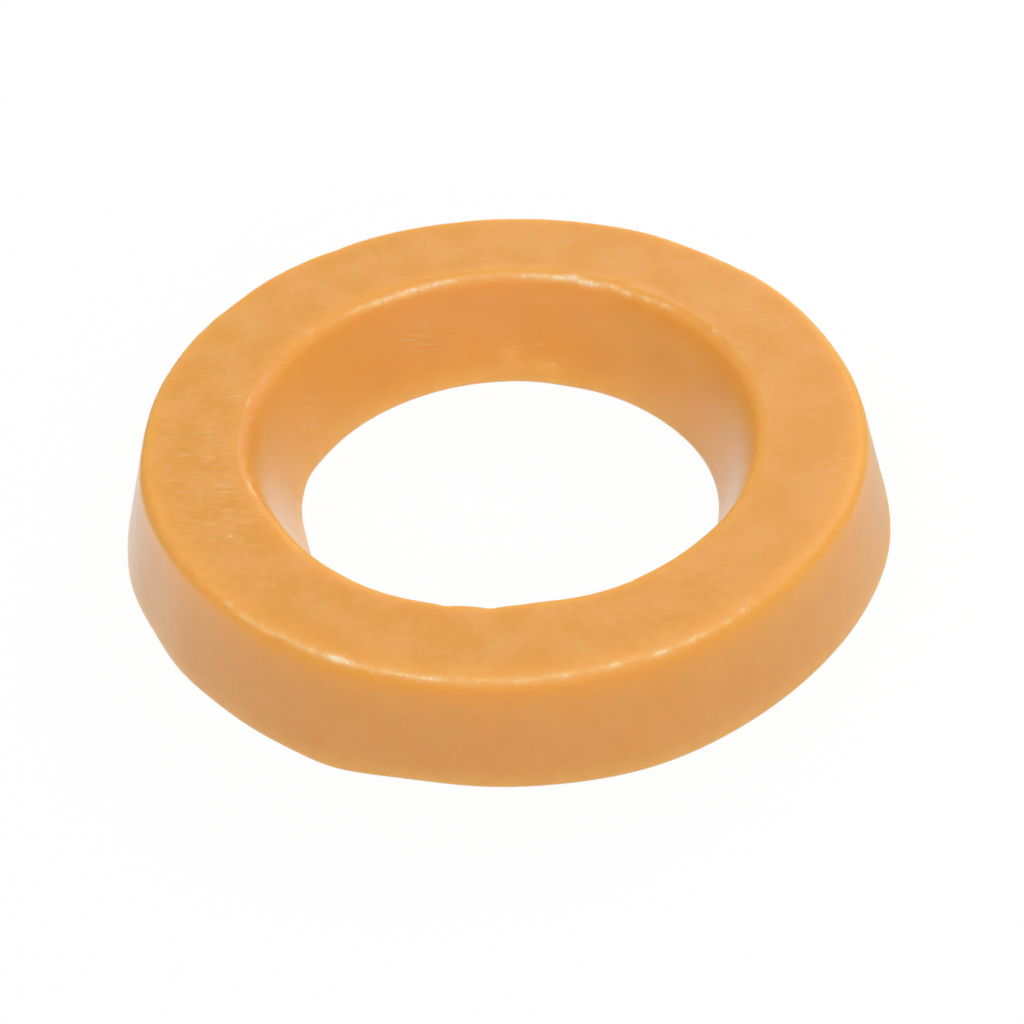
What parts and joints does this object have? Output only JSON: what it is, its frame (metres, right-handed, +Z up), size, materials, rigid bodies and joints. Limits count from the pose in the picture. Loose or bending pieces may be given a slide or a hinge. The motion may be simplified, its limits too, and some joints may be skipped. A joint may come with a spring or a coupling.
{
  "type": "toilet pan seal",
  "caption": "Soft wax ring with a flat foot, a narrower flat top, sloping walls and a wide bore, pressed between a toilet pan and its soil pipe to seal them.",
  "frame": {"origin": "middle of the flat foot, on the ring's axis, where the seal stands", "axes": "+Z up the ring's axis, from the wide foot to the narrower top; +X and +Y are square to it, with the pictured front at -Y"},
  "size_m": [0.1267, 0.1266, 0.0186],
  "materials": {
    "wax": "soft honey-coloured wax, waxy sheen on the rounded edges"
  },
  "bodies": {
    "root": {"wax_ring": "wax"}
  },
  "joints": []
}
